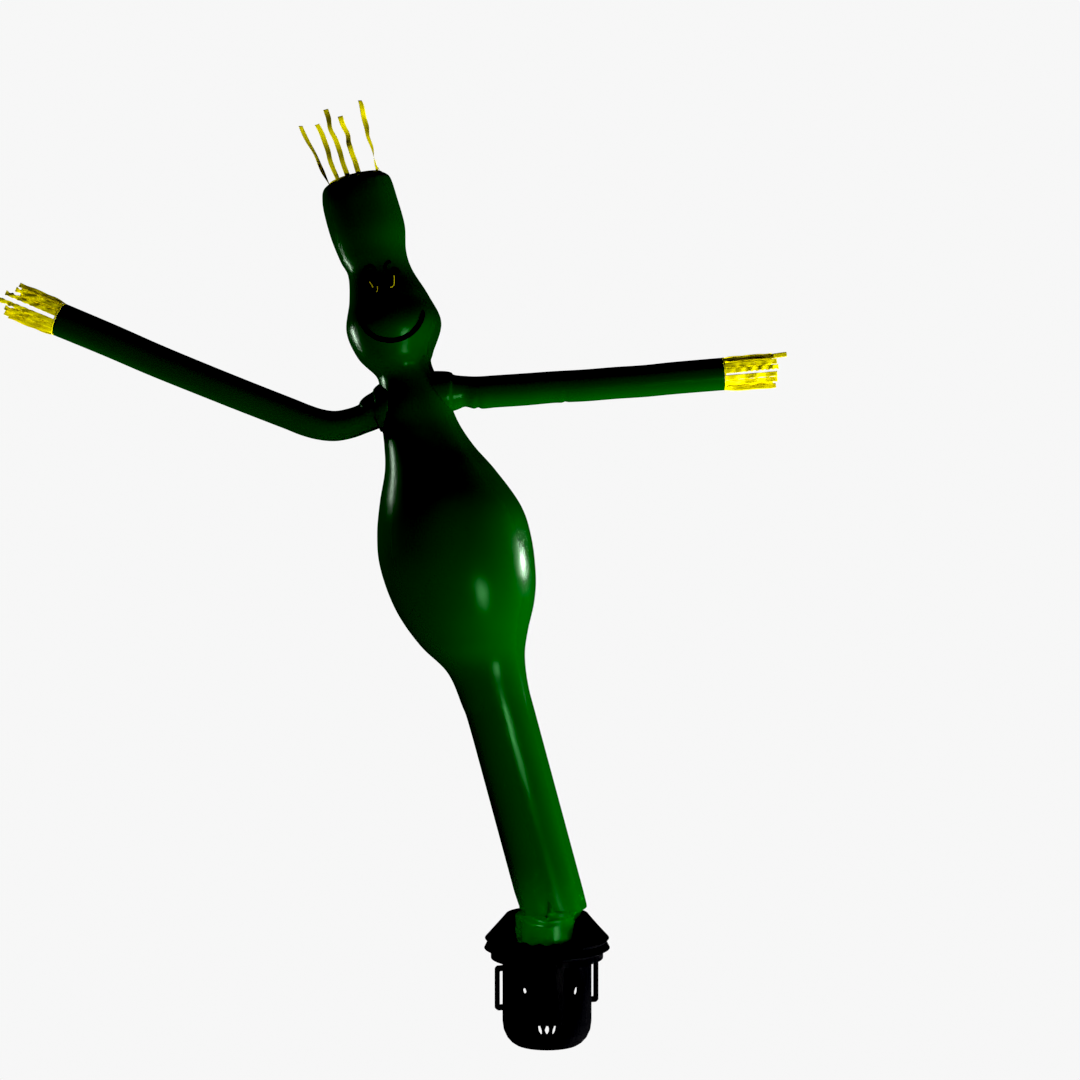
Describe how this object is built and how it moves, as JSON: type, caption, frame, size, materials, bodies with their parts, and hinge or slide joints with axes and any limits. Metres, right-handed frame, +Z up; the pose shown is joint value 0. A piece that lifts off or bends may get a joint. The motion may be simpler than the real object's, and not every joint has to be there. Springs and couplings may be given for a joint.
{
  "type": "inflatable air dancer on its blower",
  "caption": "Leaning inflated nylon tube figure with two arms, ribbon streamers and a plain smiling face, standing on a round black blower with handles.",
  "frame": {"origin": "middle of the blower's flat foot", "axes": "+Z up, the face looks towards -Y, the figure leans towards -X"},
  "size_m": [5.5472, 1.088, 6.5903],
  "materials": {
    "green_nylon": "glossy coated nylon",
    "yellow_ribbon": "satin ribbon",
    "black_cloth": "matte cloth",
    "black_paint": "satin black paint"
  },
  "bodies": {
    "root": {"body_skin": "green_nylon", "arm_left": "green_nylon", "arm_right": "green_nylon", "head_streamers": "yellow_ribbon", "streamers_left": "yellow_ribbon", "streamers_right": "yellow_ribbon", "eye_left": "black_cloth", "eye_right": "black_cloth", "brow_left": "black_cloth", "brow_right": "black_cloth", "mouth": "black_cloth", "blower_housing": "black_paint", "blower_flange": "black_paint", "outlet_collar": "black_paint", "outlet_guard": "black_paint", "handle_left": "black_paint", "handle_right": "black_paint"}
  },
  "joints": []
}
